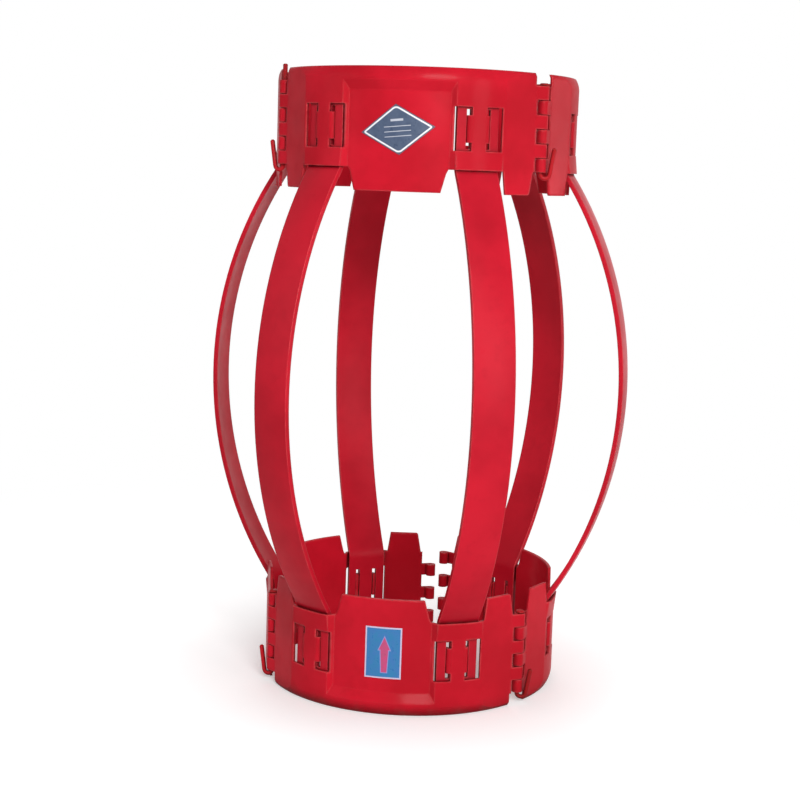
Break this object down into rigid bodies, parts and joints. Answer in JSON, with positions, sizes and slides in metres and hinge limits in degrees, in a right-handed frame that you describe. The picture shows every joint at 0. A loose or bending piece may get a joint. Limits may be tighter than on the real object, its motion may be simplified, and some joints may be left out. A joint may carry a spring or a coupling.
{
  "type": "casing centralizer",
  "caption": "Hinged bow-spring centralizer: two pinned sheet-steel collars that close round a well casing and carry outward-bowed leaf springs between them.",
  "frame": {"origin": "on the axis of the casing bore, in the plane of the lower rim", "axes": "+Z along the casing bore, from the lower collar to the upper collar; -Y outwards through the middle of the front panel, which carries the labels; the unpinned hinge line is on +Y"},
  "size_m": [0.3741, 0.3386, 0.5435],
  "materials": {
    "red_paint": "satin",
    "slate_label": "gloss",
    "blue_label": "gloss"
  },
  "bodies": {
    "front_panel": {"lower_collar_front": "red_paint", "upper_collar_front": "red_paint", "bow_front_left": "red_paint", "bow_front_right": "red_paint", "label_diamond": "slate_label", "label_arrow": "blue_label"},
    "right_panel": {"lower_collar_right": "red_paint", "upper_collar_right": "red_paint", "bow_right_front": "red_paint", "bow_right_rear": "red_paint", "pin_lower_right": "red_paint", "pin_upper_right": "red_paint"},
    "left_panel": {"lower_collar_left": "red_paint", "upper_collar_left": "red_paint", "bow_left_rear": "red_paint", "bow_left_front": "red_paint", "pin_lower_left": "red_paint", "pin_upper_left": "red_paint"}
  },
  "joints": [
    {"name": "right_hinge", "type": "hinge", "parent": "front_panel", "child": "right_panel", "pos_m": [0.11053, -0.06381, 0.27], "axis": [0, 0, -1], "range_deg": [-3.5, 100]},
    {"name": "left_hinge", "type": "hinge", "parent": "front_panel", "child": "left_panel", "pos_m": [-0.11053, -0.06381, 0.27], "axis": [0, 0, 1], "range_deg": [0, 100]}
  ]
}
